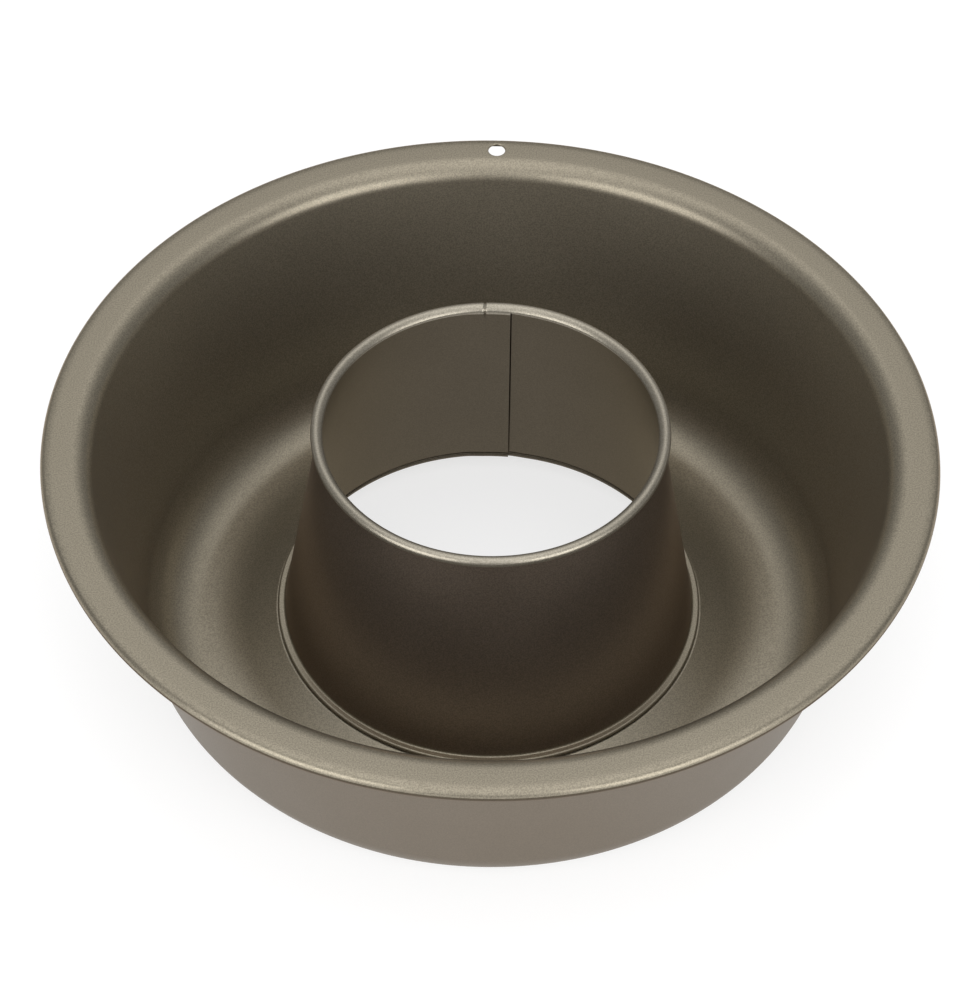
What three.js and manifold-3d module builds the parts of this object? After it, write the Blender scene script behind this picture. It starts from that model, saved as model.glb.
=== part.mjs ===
// Plain ring cake pan of coated steel sheet: a drawn pan body, and a rolled centre tube clinched through its floor.
import * as THREE from 'three';
import { mergeVertices } from 'three/addons/utils/BufferGeometryUtils.js';
import Module from 'manifold-3d';

// Driving dimensions, in millimetres and degrees. Bend radii are measured on the inside of the bend.

// Pan body
const PAN_SHEET = 0.6;
const RIM_RADIUS = 130;
const RIM_HEIGHT = 77.5;
const RIM_FLAT_WIDTH = 5.05;
const RIM_ROLL_BEND = 7.4;
const RIM_ROLL_TURN = 16;
const RIM_EDGE_BEND = 1.4;
const RIM_EDGE_TURN = 125;
const SHOULDER_BEND = 5.8;
const FLOOR_SLOPE_WIDTH = 20.8;
const BASE_RING_WIDTH = 2;
const CORNER_BEND = 16.8;
const FLOOR_BEND = 28;
const SEAT_HEIGHT = 7.3;
const SEAT_BEND = 0.5;
const SEAT_MARGIN = 0.1;
const HANGING_HOLE_RADIUS = 2.6;
const HANGING_HOLE_INSET = 5.7;

// Centre tube
const TUBE_SHEET = 0.6;
const TUBE_HEIGHT = 83.4;
const TUBE_TOP_RADIUS = 50.5;
const TUBE_FOOT_RADIUS = 61.2;
const CURL_BEND = 0.95;
const CURL_TURN = 290;
const FOOT_BEAD_BEND = 0.2;
const FOOT_BEAD_REACH = 1;
const FOOT_FILLET = 0.2;
const FLANGE_BEND = 0.3;
const LAP_WIDTH = 8.1;
const LAP_ANGLE = 1.4;

// Clearance left between the two sheets wherever they meet
const JOINT_GAP = 0.3;

// Coating
const BODY_COLOUR = 0x9b9585;
const TUBE_COLOUR = 0x948d7c;
const COAT_ROUGHNESS = 0.42;

// How finely round shapes are divided, and how close two corners are that count as one
const RING_SEGMENTS = 64;
const HOLE_SEGMENTS = 24;
const LARGE_BEND_STEPS = 6;
const SMALL_BEND_STEPS = 4;
const TIGHT_BEND_STEPS = 2;
const CURL_STEPS = 8;
const MERGE_DISTANCE = 1e-4;

const wasm = await Module();
wasm.setup();

const degrees = (radians) => THREE.MathUtils.radToDeg(radians);
const radians = (angle) => THREE.MathUtils.degToRad(angle);

// One point of a sheet's middle line, with the unit normal on the left of the direction of travel.
function station(x, y, normalAngle) {
  const normal = new THREE.Vector2(Math.cos(radians(normalAngle)), Math.sin(radians(normalAngle)));
  return { point: new THREE.Vector2(x, y), normal };
}

// Stations along a bend from one angle to another: rising angles turn left, falling angles turn right.
function bend(centre, radius, from, to, steps) {
  const turnsLeft = to > from;
  return Array.from({ length: steps + 1 }, (_, i) => {
    const angle = from + ((to - from) * i) / steps;
    const x = centre.x + radius * Math.cos(radians(angle));
    const y = centre.y + radius * Math.sin(radians(angle));
    return station(x, y, turnsLeft ? angle + 180 : angle);
  });
}

// Angle of the normal of the straight line that passes between two circles and touches both.
function crossNormal(centreA, radiusA, centreB, radiusB, side) {
  const across = new THREE.Vector2().subVectors(centreB, centreA);
  const swing = Math.acos((radiusA + radiusB) / across.length());
  return degrees(across.angle() + side * swing);
}

// Closed outline of a sheet of even thickness around its middle line.
function sheetOutline(stations, thickness) {
  const offset = (side) => ({ point, normal }) => point.clone().addScaledVector(normal, (side * thickness) / 2);
  const outline = [...stations.map(offset(-1)), ...stations.map(offset(1)).reverse()];
  return [...outline, outline[0].clone()];
}

// Solid of revolution about +Z from an outline of (radius, height) points.
function revolve(outline) {
  const geometry = new THREE.LatheGeometry(outline, RING_SEGMENTS);
  return geometry.rotateX(Math.PI / 2);
}

function toSolid(geometry) {
  const bare = geometry.clone();
  bare.deleteAttribute('normal');
  bare.deleteAttribute('uv');
  const merged = mergeVertices(bare, MERGE_DISTANCE);
  const vertProperties = new Float32Array(merged.attributes.position.array);
  const triVerts = new Uint32Array(merged.index.array);
  return new wasm.Manifold(new wasm.Mesh({ numProp: 3, vertProperties, triVerts }));
}

function toGeometry(solid) {
  const mesh = solid.getMesh();
  const geometry = new THREE.BufferGeometry();
  geometry.setAttribute('position', new THREE.BufferAttribute(new Float32Array(mesh.vertProperties), 3));
  geometry.setIndex(new THREE.BufferAttribute(new Uint32Array(mesh.triVerts), 1));
  geometry.computeVertexNormals();
  return geometry;
}

function coatedSteel(color) {
  return new THREE.MeshStandardMaterial({ color, roughness: COAT_ROUGHNESS, metalness: 1 });
}

// Heights and radii of the clinched joint, which both pieces share
const seatMiddle = SEAT_HEIGHT - PAN_SHEET / 2;
const beadBend = FOOT_BEAD_BEND + TUBE_SHEET / 2;
const filletBend = FOOT_FILLET + TUBE_SHEET / 2;
const flangeBend = FLANGE_BEND + TUBE_SHEET / 2;
const curlBend = CURL_BEND + TUBE_SHEET / 2;
const flangeMiddle = SEAT_HEIGHT - PAN_SHEET - JOINT_GAP - TUBE_SHEET / 2;
const beadLow = SEAT_HEIGHT + JOINT_GAP + TUBE_SHEET / 2;
const beadHigh = beadLow + 2 * beadBend;

// The tube's straight wall runs from its foot to the side of its top curl.
const wallFoot = new THREE.Vector2(TUBE_FOOT_RADIUS, SEAT_HEIGHT);
const curlCentre = new THREE.Vector2(TUBE_TOP_RADIUS, TUBE_HEIGHT - CURL_BEND - TUBE_SHEET);
const wallNormal = crossNormal(wallFoot, 0, curlCentre, curlBend, -1);

// Radius at which a line parallel to the tube's wall, a set distance outside its middle, reaches a height.
function radiusBesideWall(distance, height) {
  const drop = (height - wallFoot.y) * Math.sin(radians(wallNormal));
  return wallFoot.x + (distance - drop) / Math.cos(radians(wallNormal));
}

const lowFillet = new THREE.Vector2(radiusBesideWall(filletBend, beadLow - filletBend), beadLow - filletBend);
const highFillet = new THREE.Vector2(radiusBesideWall(filletBend, beadHigh + filletBend), beadHigh + filletBend);
const beadCentre = new THREE.Vector2(lowFillet.x + FOOT_BEAD_REACH, beadLow + beadBend);
const floorHoleRadius = lowFillet.x + JOINT_GAP;
const seatEnd = beadCentre.x + FOOT_BEAD_BEND + TUBE_SHEET + SEAT_MARGIN;

function panBody() {
  const seatBend = SEAT_BEND + PAN_SHEET / 2;
  const floorBend = FLOOR_BEND + PAN_SHEET / 2;
  const cornerBend = CORNER_BEND + PAN_SHEET / 2;
  const shoulderBend = SHOULDER_BEND + PAN_SHEET / 2;
  const rollBend = RIM_ROLL_BEND + PAN_SHEET / 2;
  const edgeBend = RIM_EDGE_BEND + PAN_SHEET / 2;
  const rimMiddle = RIM_HEIGHT - PAN_SHEET / 2;
  const rollReach = rollBend - edgeBend;
  const rollTurn = radians(RIM_ROLL_TURN);
  const edgeX = RIM_RADIUS - PAN_SHEET / 2 - edgeBend;
  const rollCentre = new THREE.Vector2(edgeX - rollReach * Math.sin(rollTurn), rimMiddle - rollBend);
  const edgeCentre = new THREE.Vector2(edgeX, rollCentre.y + rollReach * Math.cos(rollTurn));
  const shoulderCentre = new THREE.Vector2(rollCentre.x - RIM_FLAT_WIDTH, rimMiddle - shoulderBend);
  const seatCentre = new THREE.Vector2(seatEnd, seatMiddle - seatBend);
  const floorCentre = new THREE.Vector2(seatEnd + FLOOR_SLOPE_WIDTH, PAN_SHEET / 2 + floorBend);
  const cornerCentre = new THREE.Vector2(floorCentre.x + BASE_RING_WIDTH, PAN_SHEET / 2 + cornerBend);
  const slopeNormal = crossNormal(seatCentre, seatBend, floorCentre, floorBend, 1);
  const sideNormal = crossNormal(cornerCentre, cornerBend, shoulderCentre, shoulderBend, -1);

  const middleLine = [
    station(floorHoleRadius, seatMiddle, 90),
    ...bend(seatCentre, seatBend, 90, slopeNormal, TIGHT_BEND_STEPS),
    ...bend(floorCentre, floorBend, slopeNormal + 180, 270, SMALL_BEND_STEPS),
    ...bend(cornerCentre, cornerBend, 270, 360 + sideNormal, LARGE_BEND_STEPS),
    ...bend(shoulderCentre, shoulderBend, 180 + sideNormal, 90, SMALL_BEND_STEPS),
    ...bend(rollCentre, rollBend, 90, 90 - RIM_ROLL_TURN, TIGHT_BEND_STEPS),
    ...bend(edgeCentre, edgeBend, 90 - RIM_ROLL_TURN, 90 - RIM_EDGE_TURN, SMALL_BEND_STEPS),
  ];
  const shell = revolve(sheetOutline(middleLine, PAN_SHEET));

  const punchLength = 4 * PAN_SHEET;
  const punch = new THREE.CylinderGeometry(HANGING_HOLE_RADIUS, HANGING_HOLE_RADIUS, punchLength, HOLE_SEGMENTS);
  punch.rotateX(Math.PI / 2);
  punch.translate(0, RIM_RADIUS - HANGING_HOLE_INSET, rimMiddle);

  const geometry = toGeometry(toSolid(shell).subtract(toSolid(punch)));
  const mesh = new THREE.Mesh(geometry, coatedSteel(BODY_COLOUR));
  mesh.name = 'pan_body';
  return mesh;
}

// The inner end of the rolled strip, lapped over the other end at the back of the tube.
function lapLayer() {
  const bottom = beadHigh + filletBend;
  const top = curlCentre.y - curlBend;
  const innerFace = -TUBE_SHEET / 2 - TUBE_SHEET;
  const outline = [
    new THREE.Vector2(radiusBesideWall(innerFace, bottom), bottom),
    new THREE.Vector2(radiusBesideWall(0, bottom), bottom),
    new THREE.Vector2(radiusBesideWall(0, top), top),
    new THREE.Vector2(radiusBesideWall(innerFace, top), top),
  ];
  const ring = revolve([...outline, outline[0].clone()]);

  const middleRadius = (TUBE_TOP_RADIUS + TUBE_FOOT_RADIUS) / 2;
  const halfAngle = LAP_WIDTH / middleRadius / 2;
  const reach = 2 * TUBE_FOOT_RADIUS;
  const slice = new THREE.Shape();
  slice.moveTo(0, 0);
  slice.lineTo(reach * Math.sin(halfAngle), reach * Math.cos(halfAngle));
  slice.lineTo(-reach * Math.sin(halfAngle), reach * Math.cos(halfAngle));
  slice.closePath();
  const wedge = new THREE.ExtrudeGeometry(slice, { depth: TUBE_HEIGHT, bevelEnabled: false });
  wedge.rotateZ(-radians(LAP_ANGLE));
  return toSolid(ring).intersect(toSolid(wedge));
}

function centreTube() {
  const flangeCentre = new THREE.Vector2(
    radiusBesideWall(flangeBend, flangeMiddle + flangeBend), flangeMiddle + flangeBend);
  const middleLine = [
    station(seatEnd, flangeMiddle, 270),
    ...bend(flangeCentre, flangeBend, 270, 180 + wallNormal, TIGHT_BEND_STEPS),
    ...bend(lowFillet, filletBend, 180 + wallNormal, 90, TIGHT_BEND_STEPS),
    ...bend(beadCentre, beadBend, -90, 90, SMALL_BEND_STEPS),
    ...bend(highFillet, filletBend, 270, 180 + wallNormal, TIGHT_BEND_STEPS),
    ...bend(curlCentre, curlBend, 180 + wallNormal, 180 + wallNormal - CURL_TURN, CURL_STEPS),
  ];
  const rolled = revolve(sheetOutline(middleLine, TUBE_SHEET));
  const geometry = toGeometry(toSolid(rolled).add(lapLayer()));
  const mesh = new THREE.Mesh(geometry, coatedSteel(TUBE_COLOUR));
  mesh.name = 'centre_tube';
  return mesh;
}

const pan = new THREE.Group();
pan.name = 'ring_cake_pan';
pan.add(panBody(), centreTube());

export default pan;
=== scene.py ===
"""Plain ring cake pan of coated steel sheet, with a rolled centre tube clinched through its floor."""
from math import acos, asin, atan2, ceil, cos, degrees, exp, hypot, pi, radians, sin

import bmesh
import bpy
from mathutils import Matrix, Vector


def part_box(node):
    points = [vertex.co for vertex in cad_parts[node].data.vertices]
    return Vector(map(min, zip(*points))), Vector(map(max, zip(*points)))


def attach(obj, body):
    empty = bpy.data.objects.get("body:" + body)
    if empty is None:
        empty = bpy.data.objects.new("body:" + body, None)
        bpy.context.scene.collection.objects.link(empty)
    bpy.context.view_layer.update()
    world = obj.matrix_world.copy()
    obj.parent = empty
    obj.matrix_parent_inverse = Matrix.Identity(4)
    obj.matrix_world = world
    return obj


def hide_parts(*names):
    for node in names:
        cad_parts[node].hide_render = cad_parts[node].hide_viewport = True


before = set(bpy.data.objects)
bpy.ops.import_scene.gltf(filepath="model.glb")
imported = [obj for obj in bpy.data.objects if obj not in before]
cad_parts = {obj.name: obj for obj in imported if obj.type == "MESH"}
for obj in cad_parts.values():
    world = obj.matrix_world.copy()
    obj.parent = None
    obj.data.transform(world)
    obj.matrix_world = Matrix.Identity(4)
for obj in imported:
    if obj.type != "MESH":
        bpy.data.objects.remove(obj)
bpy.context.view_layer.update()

MM = 0.001
pan_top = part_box("pan_body")[1] / MM
tube_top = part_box("centre_tube")[1] / MM

# Sizes in millimetres and degrees. Bend radii are measured on the inside of the bend.

# Pan body
PAN_SHEET = 0.6
RIM_RADIUS = pan_top.x
RIM_HEIGHT = pan_top.z
RIM_FLAT_WIDTH = 5.05
RIM_ROLL_BEND = 7.4
RIM_ROLL_TURN = 16.0
RIM_EDGE_BEND = 1.4
RIM_EDGE_TURN = 125.0
SHOULDER_BEND = 5.8
FLOOR_SLOPE_WIDTH = 20.8
BASE_RING_WIDTH = 2.0
CORNER_BEND = 16.8
FLOOR_BEND = 28.0
SEAT_HEIGHT = 7.3
SEAT_BEND = 0.5
SEAT_MARGIN = 0.1
HANGING_HOLE_RADIUS = 2.6
HANGING_HOLE_INSET = 5.7
HANGING_HOLE_ROUNDING = 0.3

# Dark band along the rim's cut edge, partly the bare edge and partly painted shade under the turned-down
# lip: how far in it reaches, and the upright share of its normal where it starts
EDGE_SHADE_WIDTH = 1.0
EDGE_SHADE_NORMAL = 0.2

# Centre tube
TUBE_SHEET = 0.6
TUBE_HEIGHT = tube_top.z
TUBE_TOP_RADIUS = 50.5
TUBE_FOOT_RADIUS = 61.2
CURL_BEND = 0.95
CURL_TURN = 300
FOOT_BEAD_BEND = 0.1
FOOT_BEAD_REACH = 1.1
FOOT_FILLET = 0.2
FOOT_TOP_FILLET = 0.7
FLANGE_BEND = 0.3
SHEET_CONTACT = 0.03

# Lap of the tube's two ends, by sideways distance from the back of the pan
LAP_OUTER_EDGE = -2.5
LAP_INNER_EDGE = 5.1
LAP_RAMP = 6.0
LAP_STRAIGHT_REACH = 20.0
LAP_FADE = 0.8
SEAM_WIDTH = 0.4
SEAM_DEPTH = 0.4
NOTCH_WIDTH = 0.3
NOTCH_DEPTH = 0.35
CREASE_WIDTH = 0.25
CREASE_DEPTH = 0.06

# Swelling of the top bead towards the bore
SWELL = 0.4
SWELL_DROP = 0.8

# Mesh fineness. The wall's rings are set by distance below the curl, the lap's columns from its edges.
PAN_COLUMNS = 288
TUBE_COLUMNS = 240
HOLE_COLUMNS = 48
BEND_STEP = 5.0
WALL_DROPS = 50.0, 25.0, 12.0, 6.0, 3.0, 1.6, 0.8, 0.6, 0.4, 0.2
LAP_STEPS = 0.004, 0.12, 0.25, 0.4, 0.6, 0.9
WELD_DISTANCE = 0.001
SHARP_ANGLE = radians(38)

# Coats of each sheet in the order of its material slots, and the wall's rings that have the bead's lighter
# coat, a painted highlight
PAN_INSIDE, PAN_OUTSIDE, PAN_EDGE_AND_SHADE = range(3)
TUBE_BORE_SHADE, TUBE_FOOT, TUBE_WALL, TUBE_BEAD_HIGHLIGHT = range(4)
BEAD_HIGHLIGHT_WALL_RINGS = 4

# Tint of the coats at a grazing look, where they show their brown base
GRAZING_TINT = 0.8, 0.68, 0.58, 1
TUBE_TINT = 0.82, 0.72, 0.62, 1
# The bore's tint is darker and browner still: painted shade
BORE_SHADE_TINT = 0.7, 0.64, 0.54, 1
# Tint of the bead's lighter coat: part of its painted highlight
BEAD_HIGHLIGHT_TINT = 0.9, 0.81, 0.71, 1
PLAIN_TINT = 1, 1, 1, 1

# Grain of the coats: fine flakes in the colour and relief, wide clouds in the gloss
FLAKE_SCALE = 2400.0
FLAKE_DETAIL = 2.0
FLAKE_ROUGHNESS = 0.6
FLAKE_RANGE = 0.38, 0.62
FLAKE_HEIGHT = 0.02
CLOUD_SCALE = 28.0
CLOUD_DETAIL = 3.0
CLOUD_RANGE = 0.3, 0.7
CLOUD_GLOSS = 0.03

# Sockets of a colour mix: its share, its two colours and its result
MIX_SHARE, MIX_FIRST, MIX_SECOND, MIX_RESULT = 0, 6, 7, 2

# Light: the sky's brightness at its edge and top, and the two soft boxes beside the camera, in metres
SKY_EDGE = 0.23
SKY_TOP = 2.05
SKY_POWER = 2.0
SKY_SIDE_POWER = 2.3
BOX_SIDEWAYS = radians(40)
BOX_ELEVATION = radians(22)
BOX_DISTANCE = 1.6
BOX_SIZE = 1.2
BOX_BRIGHTNESS = 3.2

# Floor: its own shade, its glow and how far it reaches to each side, in metres
FLOOR_SHADE = 0.32
FLOOR_GLOW = 0.72
FLOOR_REACH = 15.0

# Camera, fitted to the photograph: lengths in millimetres, focal length in pixels of the image
IMAGE_WIDTH = 980
IMAGE_HEIGHT = 981
CAMERA_DISTANCE = 1200.0
CAMERA_FOCAL_PIXELS = 4097.0
CAMERA_ELEVATION = radians(47.33)
CAMERA_TURN = radians(0.34)
CAMERA_ROLL = radians(0.74)
CAMERA_TARGET_HEIGHT = 56.5
CAMERA_CENTRE_PIXEL = 490.0, 490.7
CAMERA_SIGHT = 30000.0
SENSOR_WIDTH = 36.0


def station(radius, height, normal):
    """One point of a sheet's middle line, with its unit normal on the left of the way the line runs."""
    return radius, height, cos(radians(normal)), sin(radians(normal))


def bend(centre, radius, start, end):
    """Stations along a bend from one angle to another: rising angles turn left, falling ones right."""
    count = max(2, ceil(abs(end - start) / BEND_STEP))
    stations = []
    for i in range(count + 1):
        angle = start + (end - start) * i / count
        r = centre[0] + radius * cos(radians(angle))
        z = centre[1] + radius * sin(radians(angle))
        stations.append(station(r, z, angle + 180 if end > start else angle))
    return stations


def cross_normal(centre_a, radius_a, centre_b, radius_b, side):
    """Angle of the normal of the straight line that passes between two circles and touches both."""
    across = centre_b[0] - centre_a[0], centre_b[1] - centre_a[1]
    swing = acos((radius_a + radius_b) / hypot(*across))
    return degrees(atan2(across[1], across[0]) + side * swing)


def smooth_step(value):
    value = min(1.0, max(0.0, value))
    return value * value * (3 - 2 * value)


# Heights and radii of the clinched joint, which both sheets share
bead_bend = FOOT_BEAD_BEND + TUBE_SHEET / 2
fillet_bend = FOOT_FILLET + TUBE_SHEET / 2
top_fillet_bend = FOOT_TOP_FILLET + TUBE_SHEET / 2
flange_bend = FLANGE_BEND + TUBE_SHEET / 2
curl_bend = CURL_BEND + TUBE_SHEET / 2
seat_middle = SEAT_HEIGHT - PAN_SHEET / 2
flange_middle = SEAT_HEIGHT - PAN_SHEET - SHEET_CONTACT - TUBE_SHEET / 2
bead_low = SEAT_HEIGHT + SHEET_CONTACT + TUBE_SHEET / 2
bead_high = bead_low + 2 * bead_bend
wall_foot = TUBE_FOOT_RADIUS, SEAT_HEIGHT
curl_centre = TUBE_TOP_RADIUS, TUBE_HEIGHT - CURL_BEND - TUBE_SHEET
wall_normal = cross_normal(wall_foot, 0, curl_centre, curl_bend, -1)


def radius_beside_wall(distance, height):
    """Radius where a line parallel to the tube's wall, a distance outside its middle, reaches a height."""
    drop = (height - wall_foot[1]) * sin(radians(wall_normal))
    return wall_foot[0] + (distance - drop) / cos(radians(wall_normal))


low_fillet = radius_beside_wall(fillet_bend, bead_low - fillet_bend), bead_low - fillet_bend
high_fillet = radius_beside_wall(top_fillet_bend, bead_high + top_fillet_bend), bead_high + top_fillet_bend
bead_centre = low_fillet[0] + FOOT_BEAD_REACH, bead_low + bead_bend
floor_hole_radius = low_fillet[0] + SHEET_CONTACT
seat_end = bead_centre[0] + FOOT_BEAD_BEND + TUBE_SHEET + SEAT_MARGIN


def pan_middle_line():
    """Middle line of the pan's sheet, from the hole in its floor to the cut edge of its rim."""
    seat_bend = SEAT_BEND + PAN_SHEET / 2
    floor_bend = FLOOR_BEND + PAN_SHEET / 2
    corner_bend = CORNER_BEND + PAN_SHEET / 2
    shoulder_bend = SHOULDER_BEND + PAN_SHEET / 2
    roll_bend = RIM_ROLL_BEND + PAN_SHEET / 2
    edge_bend = RIM_EDGE_BEND + PAN_SHEET / 2
    rim_middle = RIM_HEIGHT - PAN_SHEET / 2
    roll_reach = roll_bend - edge_bend
    roll_turn = radians(RIM_ROLL_TURN)
    edge_r = RIM_RADIUS - PAN_SHEET / 2 - edge_bend
    roll_centre = edge_r - roll_reach * sin(roll_turn), rim_middle - roll_bend
    edge_centre = edge_r, roll_centre[1] + roll_reach * cos(roll_turn)
    shoulder_centre = roll_centre[0] - RIM_FLAT_WIDTH, rim_middle - shoulder_bend
    seat_centre = seat_end, seat_middle - seat_bend
    floor_centre = seat_end + FLOOR_SLOPE_WIDTH, PAN_SHEET / 2 + floor_bend
    corner_centre = floor_centre[0] + BASE_RING_WIDTH, PAN_SHEET / 2 + corner_bend
    slope_normal = cross_normal(seat_centre, seat_bend, floor_centre, floor_bend, 1)
    side_normal = cross_normal(corner_centre, corner_bend, shoulder_centre, shoulder_bend, -1)
    return [
        station(floor_hole_radius, seat_middle, 90),
        *bend(seat_centre, seat_bend, 90, slope_normal),
        *bend(floor_centre, floor_bend, slope_normal + 180, 270),
        *bend(corner_centre, corner_bend, 270, 360 + side_normal),
        *bend(shoulder_centre, shoulder_bend, 180 + side_normal, 90),
        *bend(roll_centre, roll_bend, 90, 90 - RIM_ROLL_TURN),
        *bend(edge_centre, edge_bend, 90 - RIM_ROLL_TURN, 90 - RIM_EDGE_TURN),
    ]


def foot_stations():
    """Tube's middle line from the flange under the floor, over the bead, to the foot of the wall."""
    flange_height = flange_middle + flange_bend
    flange_centre = radius_beside_wall(flange_bend, flange_height), flange_height
    return [
        station(seat_end, flange_middle, 270),
        *bend(flange_centre, flange_bend, 270, 180 + wall_normal),
        *bend(low_fillet, fillet_bend, 180 + wall_normal, 90),
        *bend(bead_centre, bead_bend, -90, 90),
        *bend(high_fillet, top_fillet_bend, 270, 180 + wall_normal),
    ]


def wall_stations():
    """Stations of the tube's straight wall, at set distances below its curl."""
    r, z, nr, nz = curl_stations()[0]
    return [(r - nz * drop, z + nr * drop, nr, nz) for drop in WALL_DROPS]


def curl_stations():
    """Stations of the bead on top of the tube, which curls outwards from the wall."""
    return bend(curl_centre, curl_bend, 180 + wall_normal, 180 + wall_normal - CURL_TURN)


def at(angle, radius, height):
    return radius * cos(angle) * MM, radius * sin(angle) * MM, height * MM


def turned_mesh(name, sections, coats):
    """Closed mesh through closed sections set around the axis, with one coat to each stretch."""
    count = len(sections[0])
    mesh = bmesh.new()
    rings = [[mesh.verts.new(corner) for corner in section] for section in sections]
    for i, ring in enumerate(rings):
        following = rings[(i + 1) % len(rings)]
        for a in range(count):
            b = (a + 1) % count
            face = mesh.faces.new((ring[a], following[a], following[b], ring[b]))
            face.material_index = coats[a]
            face.smooth = True
    bmesh.ops.remove_doubles(mesh, verts=mesh.verts, dist=WELD_DISTANCE * MM)
    bmesh.ops.recalc_face_normals(mesh, faces=mesh.faces)
    data = bpy.data.meshes.new(name)
    mesh.to_mesh(data)
    mesh.free()
    piece = bpy.data.objects.new(name, data)
    bpy.context.scene.collection.objects.link(piece)
    return piece


def round_mesh(name, outline, columns, coats):
    """Mesh of one outline, turned once around the axis."""
    angles = [2 * pi * i / columns for i in range(columns)]
    return turned_mesh(name, [[at(angle, r, z) for r, z in outline] for angle in angles], coats)


def pan_sheet():
    """The whole pan body, with its hanging hole."""
    stations = pan_middle_line()
    half = PAN_SHEET / 2
    inside = [(r + nr * half, z + nz * half) for r, z, nr, nz in stations]
    outside = [(r - nr * half, z - nz * half) for r, z, nr, nz in reversed(stations)]
    # Faces near the rim's cut edge whose normals turn downwards get the dark coat: partly the bare edge,
    # partly painted shade under the lip
    edge_and_shade_band = [r > RIM_RADIUS - EDGE_SHADE_WIDTH and nz < EDGE_SHADE_NORMAL for r, _, _, nz in stations]
    coats = [PAN_EDGE_AND_SHADE if in_band else PAN_INSIDE for in_band in edge_and_shade_band] + [PAN_OUTSIDE] * len(stations)
    return punched(round_mesh("pan_sheet", inside + outside, PAN_COLUMNS, coats), hole_punch())


def hole_punch():
    """Tool that cuts the hanging hole, with the rounded lip that a punch leaves on the upper face."""
    radius, rounding = HANGING_HOLE_RADIUS, HANGING_HOLE_ROUNDING
    corner = radius + rounding, RIM_HEIGHT - rounding
    lip = bend(corner, rounding, 180, 90)
    clear = 2 * PAN_SHEET
    outline = [(0, RIM_HEIGHT - clear), (radius, RIM_HEIGHT - clear)]
    outline += [(r, z) for r, z, _, _ in lip]
    outline += [(corner[0], RIM_HEIGHT + clear), (0, RIM_HEIGHT + clear)]
    punch = round_mesh("hole_punch", outline, HOLE_COLUMNS, [PAN_INSIDE] * len(outline))
    punch.location.y = (RIM_RADIUS - HANGING_HOLE_INSET) * MM
    return punch


def punched(piece, punch):
    """The piece as a plain mesh with the hole cut, once the punch is gone."""
    cut = piece.modifiers.new("hanging_hole", "BOOLEAN")
    cut.operation = "DIFFERENCE"
    cut.solver = "EXACT"
    cut.object = punch
    bpy.context.view_layer.update()
    whole = piece.data
    cut_piece = piece.evaluated_get(bpy.context.evaluated_depsgraph_get())
    piece.data = bpy.data.meshes.new_from_object(cut_piece)
    piece.modifiers.clear()
    piece.data.name = piece.name
    bpy.data.meshes.remove(whole)
    bpy.data.objects.remove(punch)
    return piece


def tube_columns():
    """Places around the tube, as angles from the back: even steps, and close ones at the lap's edges."""
    even = [-pi + 2 * pi * i / TUBE_COLUMNS for i in range(TUBE_COLUMNS)]
    steps = [-step for step in LAP_STEPS] + list(LAP_STEPS)
    close = [edge + step for edge in (LAP_OUTER_EDGE, LAP_INNER_EDGE) for step in steps]
    near = [asin(sideways / TUBE_FOOT_RADIUS) for sideways in close]
    room = pi / TUBE_COLUMNS
    kept = [angle for angle in even if all(abs(angle - other) > room for other in near)]
    return sorted(kept + near)


def lap_shift(sideways):
    """How far the tube's inner and outer faces move out of round at the lap, in sheet thicknesses."""
    beyond_left = smooth_step(1 - (LAP_OUTER_EDGE - sideways) / LAP_RAMP)
    beyond_right = smooth_step(1 - (sideways - LAP_INNER_EDGE) / LAP_RAMP)
    inner = -beyond_left / 2 if sideways < LAP_INNER_EDGE else beyond_right / 2
    outer = beyond_right / 2 if sideways > LAP_OUTER_EDGE else -beyond_left / 2
    return inner, outer


def lap_cuts(sideways):
    """Depths of the notch in the bead, and of the grooves in the bore: a seam and a faint crease."""
    from_outer_edge = sideways - LAP_OUTER_EDGE
    past_inner_edge = (sideways - LAP_INNER_EDGE) / SEAM_WIDTH
    notch = exp(-(from_outer_edge / NOTCH_WIDTH) ** 2) * NOTCH_DEPTH
    crease = exp(-(from_outer_edge / CREASE_WIDTH) ** 2) * CREASE_DEPTH
    seam = SEAM_DEPTH * (1 - past_inner_edge) if 0 < past_inner_edge < 1 else 0.0
    return notch, seam + crease


def bead_swell(radius, height):
    """How far the top bead stands out from the bore's face at one point of the tube's middle line."""
    if radius > TUBE_TOP_RADIUS and height > curl_centre[1] - curl_bend:
        return 0.0
    below = smooth_step(1 - (curl_centre[1] - height) / SWELL_DROP)
    above = smooth_step(1 - (height - curl_centre[1]) / curl_bend)
    return SWELL * below * above


def tube_section(column, stations):
    """Closed section of the tube at one place around it, with the lap's steps and the notch in its bead."""
    sideways = TUBE_FOOT_RADIUS * sin(column)
    straight = inner = outer = notch = groove = 0.0
    if cos(column) > 0:
        straight = smooth_step(2 - abs(sideways) / (LAP_STRAIGHT_REACH / 2))
        inner, outer = lap_shift(sideways)
        notch, groove = lap_cuts(sideways)
    half = TUBE_SHEET / 2
    bore_side, wall_side = [], []
    for r, z, nr, nz in stations:
        lap_share = smooth_step((curl_centre[1] - z) / LAP_FADE)
        bore_offset = half - notch if z > curl_centre[1] - curl_bend else half
        bore_r = r + nr * bore_offset + inner * TUBE_SHEET * lap_share - bead_swell(r, z)
        wall_r = r - nr * half
        if z >= high_fillet[1]:
            bore_r += groove * lap_share
            wall_r += outer * TUBE_SHEET * lap_share
        bore_side.append((bore_r, z + nz * bore_offset))
        wall_side.append((wall_r, z - nz * half))
    section = []
    for r, z in bore_side + wall_side[::-1]:
        leaning = asin(max(-1.0, min(1.0, sideways / r)))
        angle = column + (leaning - column) * straight
        section.append(at(pi / 2 - angle, r, z))
    return section


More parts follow.
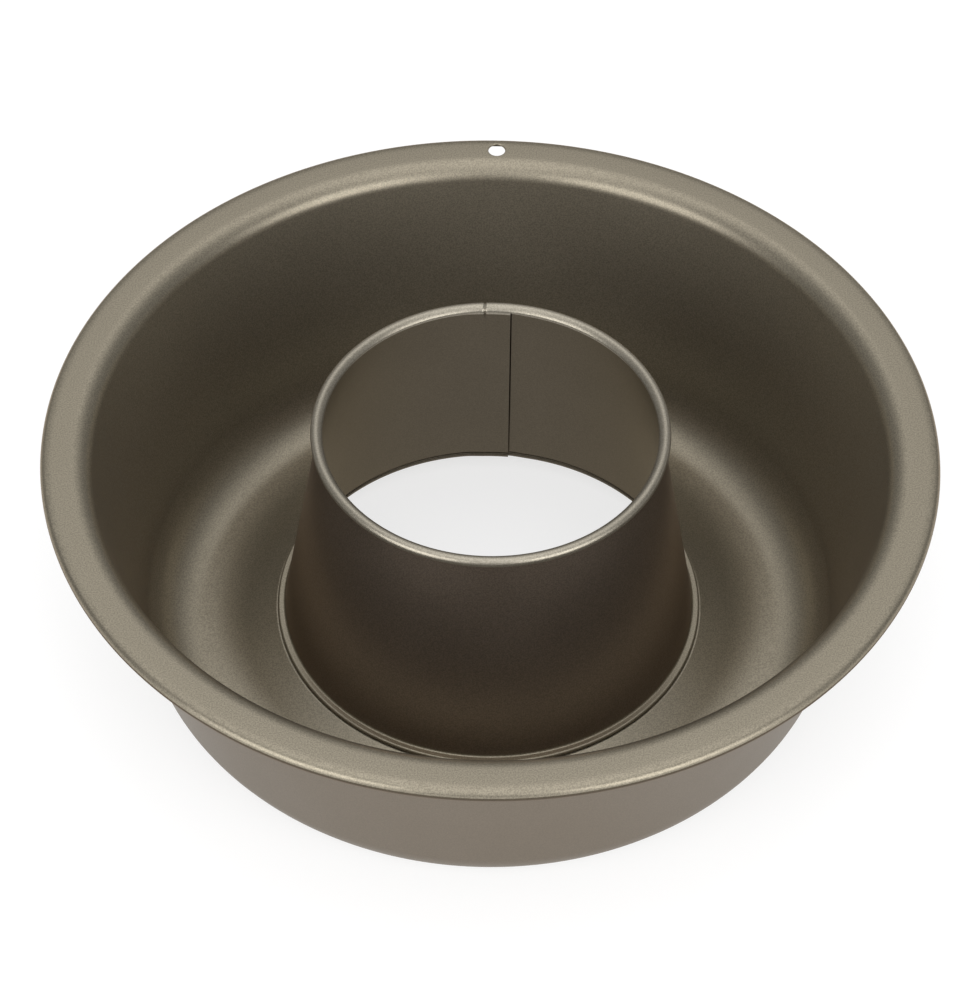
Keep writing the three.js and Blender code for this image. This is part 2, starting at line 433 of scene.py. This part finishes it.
def tube_sheet():
    """The whole centre tube, from its flange to its curl."""
    foot, wall, curl = foot_stations(), wall_stations(), curl_stations()
    sections = [tube_section(column, foot + wall + curl) for column in tube_columns()]
    # The bore's rings take the bore's darker coat, painted shade for the shaded floor that the bore
    # reflects
    bore_rings = len(foot + wall) - BEAD_HIGHLIGHT_WALL_RINGS
    # The bead and the wall's top rings take the lighter bead coat, a painted highlight
    bead_highlight_rings = BEAD_HIGHLIGHT_WALL_RINGS + 2 * len(curl)
    coats = [TUBE_BORE_SHADE] * bore_rings + [TUBE_BEAD_HIGHLIGHT] * bead_highlight_rings
    coats += [TUBE_WALL] * len(wall) + [TUBE_FOOT] * len(foot)
    return turned_mesh("tube_sheet", sections, coats)


def number_node(tree, operation, *values):
    """Output of a node that works on numbers and on the outputs of other nodes."""
    node = tree.nodes.new("ShaderNodeMath")
    node.operation = operation
    for value, socket in zip(values, node.inputs):
        if isinstance(value, float):
            socket.default_value = value
        else:
            tree.links.new(value, socket)
    return node.outputs["Value"]


def noise_node(tree, scale, detail, roughness=0.5):
    """Output of a noise that is fixed to the object."""
    place = tree.nodes.new("ShaderNodeTexCoord")
    noise = tree.nodes.new("ShaderNodeTexNoise")
    noise.inputs["Scale"].default_value = scale
    noise.inputs["Detail"].default_value = detail
    noise.inputs["Roughness"].default_value = roughness
    tree.links.new(place.outputs["Object"], noise.inputs["Vector"])
    return noise.outputs["Fac"]


def range_node(tree, value, source, target):
    """Output of a node that maps one range of numbers to another."""
    node = tree.nodes.new("ShaderNodeMapRange")
    node.inputs["From Min"].default_value, node.inputs["From Max"].default_value = source
    node.inputs["To Min"].default_value, node.inputs["To Max"].default_value = target
    tree.links.new(value, node.inputs["Value"])
    return node.outputs["Result"]


def coat(name, pale, dark, tint, metallic, roughness, relief):
    """Satin metallic coating: fine flake grain in its colour, gloss and relief."""
    material = bpy.data.materials.new(name)
    material.use_nodes = True
    tree = material.node_tree
    shader = tree.nodes["Principled BSDF"]
    shader.inputs["Metallic"].default_value = metallic
    shader.inputs["Specular Tint"].default_value = tint
    flakes = noise_node(tree, FLAKE_SCALE, FLAKE_DETAIL, FLAKE_ROUGHNESS)
    clouds = noise_node(tree, CLOUD_SCALE, CLOUD_DETAIL)

    colour = tree.nodes.new("ShaderNodeMix")
    colour.data_type = "RGBA"
    colour.inputs[MIX_FIRST].default_value = (*dark, 1)
    colour.inputs[MIX_SECOND].default_value = (*pale, 1)
    tree.links.new(range_node(tree, flakes, FLAKE_RANGE, (0, 1)), colour.inputs[MIX_SHARE])
    tree.links.new(colour.outputs[MIX_RESULT], shader.inputs["Base Color"])

    gloss = range_node(tree, clouds, CLOUD_RANGE, (roughness - CLOUD_GLOSS, roughness + CLOUD_GLOSS))
    tree.links.new(gloss, shader.inputs["Roughness"])

    bump = tree.nodes.new("ShaderNodeBump")
    bump.inputs["Strength"].default_value = relief
    bump.inputs["Distance"].default_value = FLAKE_HEIGHT * MM
    tree.links.new(flakes, bump.inputs["Height"])
    tree.links.new(bump.outputs["Normal"], shader.inputs["Normal"])
    return material


def studio_floor():
    """Pale floor, lifted to white by a glow that only cameras and clear reflections see."""
    data = bpy.data.meshes.new("studio_floor")
    corners = [(x * FLOOR_REACH, y * FLOOR_REACH, 0) for x, y in ((-1, -1), (1, -1), (1, 1), (-1, 1))]
    data.from_pydata(corners, [], [(0, 1, 2, 3)])
    floor = bpy.data.objects.new("studio_floor", data)
    bpy.context.scene.collection.objects.link(floor)

    material = bpy.data.materials.new("studio_floor")
    material.use_nodes = True
    tree = material.node_tree
    shader = tree.nodes["Principled BSDF"]
    shader.inputs["Base Color"].default_value = (FLOOR_SHADE, FLOOR_SHADE, FLOOR_SHADE, 1)
    shader.inputs["Roughness"].default_value = 1.0
    shader.inputs["Specular IOR Level"].default_value = 0.0
    shader.inputs["Emission Color"].default_value = (1, 1, 1, 1)
    rays = tree.nodes.new("ShaderNodeLightPath").outputs
    seen = number_node(tree, "MAXIMUM", rays["Is Camera Ray"], rays["Is Glossy Ray"])
    seen = number_node(tree, "MAXIMUM", seen, rays["Is Transmission Ray"])
    glow = number_node(tree, "MULTIPLY", seen, FLOOR_GLOW)
    tree.links.new(glow, shader.inputs["Emission Strength"])
    data.materials.append(material)


def studio_light():
    """Soft light that grows towards the top and fades to both sides, as under a long overhead diffuser."""
    world = bpy.data.worlds.new("studio_light")
    bpy.context.scene.world = world
    world.use_nodes = True
    tree = world.node_tree
    sky = tree.nodes["Background"]
    sky.inputs["Color"].default_value = (1, 1, 1, 1)
    direction = tree.nodes.new("ShaderNodeTexCoord")
    parts = tree.nodes.new("ShaderNodeSeparateXYZ")
    tree.links.new(direction.outputs["Generated"], parts.inputs["Vector"])
    x, _, z = parts.outputs
    rise = number_node(tree, "POWER", number_node(tree, "MAXIMUM", z, 0.0), SKY_POWER)
    middle = number_node(tree, "SUBTRACT", 1.0, number_node(tree, "MULTIPLY", x, x))
    narrow = number_node(tree, "POWER", middle, SKY_SIDE_POWER)
    overhead = number_node(tree, "MULTIPLY", rise, narrow)
    level = number_node(tree, "MULTIPLY_ADD", overhead, SKY_TOP - SKY_EDGE, SKY_EDGE)
    tree.links.new(level, sky.inputs["Strength"])


def soft_box(name, sideways):
    """Square diffused lamp beside the camera, turned towards the pan."""
    lamp = bpy.data.lights.new(name, "AREA")
    lamp.size = BOX_SIZE
    lamp.energy = BOX_BRIGHTNESS * pi * BOX_SIZE ** 2
    box = bpy.data.objects.new(name, lamp)
    bpy.context.scene.collection.objects.link(box)
    turn = Matrix.Rotation(sideways, 4, "Z")
    tilt = Matrix.Rotation(pi / 2 - BOX_ELEVATION, 4, "X")
    box.matrix_world = turn @ tilt @ Matrix.Translation((0, 0, BOX_DISTANCE))


def photo_camera():
    """Camera at the photograph's viewing angle."""
    data = bpy.data.cameras.new("camera")
    camera = bpy.data.objects.new("camera", data)
    bpy.context.scene.collection.objects.link(camera)
    data.sensor_fit = "HORIZONTAL"
    data.sensor_width = SENSOR_WIDTH
    data.lens = CAMERA_FOCAL_PIXELS / IMAGE_WIDTH * SENSOR_WIDTH
    data.shift_x = (IMAGE_WIDTH / 2 - CAMERA_CENTRE_PIXEL[0]) / IMAGE_WIDTH
    data.shift_y = (CAMERA_CENTRE_PIXEL[1] - IMAGE_HEIGHT / 2) / IMAGE_WIDTH
    data.clip_end = CAMERA_SIGHT * MM
    back = -CAMERA_DISTANCE * cos(CAMERA_ELEVATION) * MM
    up = (CAMERA_TARGET_HEIGHT + CAMERA_DISTANCE * sin(CAMERA_ELEVATION)) * MM
    turn = Matrix.Rotation(CAMERA_TURN, 4, "Z")
    tilt = Matrix.Rotation(pi / 2 - CAMERA_ELEVATION, 4, "X")
    roll = Matrix.Rotation(CAMERA_ROLL, 4, "Z")
    camera.matrix_world = turn @ Matrix.Translation((0, back, up)) @ tilt @ roll
    bpy.context.scene.camera = camera


inside_coat = coat(
    "inside_coat", pale=(0.296, 0.265, 0.205), dark=(0.204, 0.182, 0.139),
    tint=GRAZING_TINT, metallic=0.78, roughness=0.35, relief=0.4)
outside_coat = coat(
    "outside_coat", pale=(0.213, 0.178, 0.138), dark=(0.185, 0.155, 0.12),
    tint=PLAIN_TINT, metallic=1.0, roughness=0.48, relief=0.1)
# Dark coat on the rim's turned-down edge: partly the bare cut edge, partly painted shade under the lip
edge_and_shade_coat = coat(
    "edge_and_shade_coat", pale=(0.11, 0.092, 0.07), dark=(0.085, 0.072, 0.054),
    tint=GRAZING_TINT, metallic=0.9, roughness=0.45, relief=0.2)
# Darker coat inside the tube: painted shade, standing in for the shaded floor that the bore reflects
bore_shade_coat = coat(
    "bore_shade_coat", pale=(0.131, 0.111, 0.085), dark=(0.105, 0.09, 0.068),
    tint=BORE_SHADE_TINT, metallic=1.0, roughness=0.45, relief=0.2)
# Coat of the tube's outer wall: a slightly darker, browner copy of the inside coat, darkened as painted
# shade
tube_coat = coat(
    "tube_coat", pale=(0.288, 0.236, 0.191), dark=(0.208, 0.171, 0.138),
    tint=TUBE_TINT, metallic=0.9, roughness=0.36, relief=0.4)
# Lighter coat on the top bead and the wall just below it: a painted highlight
bead_highlight_coat = coat(
    "bead_highlight_coat", pale=(0.37, 0.338, 0.276), dark=(0.258, 0.236, 0.193),
    tint=BEAD_HIGHLIGHT_TINT, metallic=0.82, roughness=0.35, relief=0.4)
pan_coats = inside_coat, outside_coat, edge_and_shade_coat
tube_coats = bore_shade_coat, inside_coat, tube_coat, bead_highlight_coat

pan, tube = pan_sheet(), tube_sheet()
for piece, coats, node, slot in (
    (pan, pan_coats, "pan_body", "body_coat"),
    (tube, tube_coats, "centre_tube", "tube_coat"),
):
    for material in coats:
        piece.data.materials.append(material)
    piece.data.shade_smooth()
    piece.data.set_sharp_from_angle(angle=SHARP_ANGLE)
    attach(piece, "root")
    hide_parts(node)

studio_floor()
studio_light()
soft_box("left_box", -BOX_SIDEWAYS)
soft_box("right_box", BOX_SIDEWAYS)
photo_camera()
bpy.context.scene.view_settings.view_transform = "Standard"
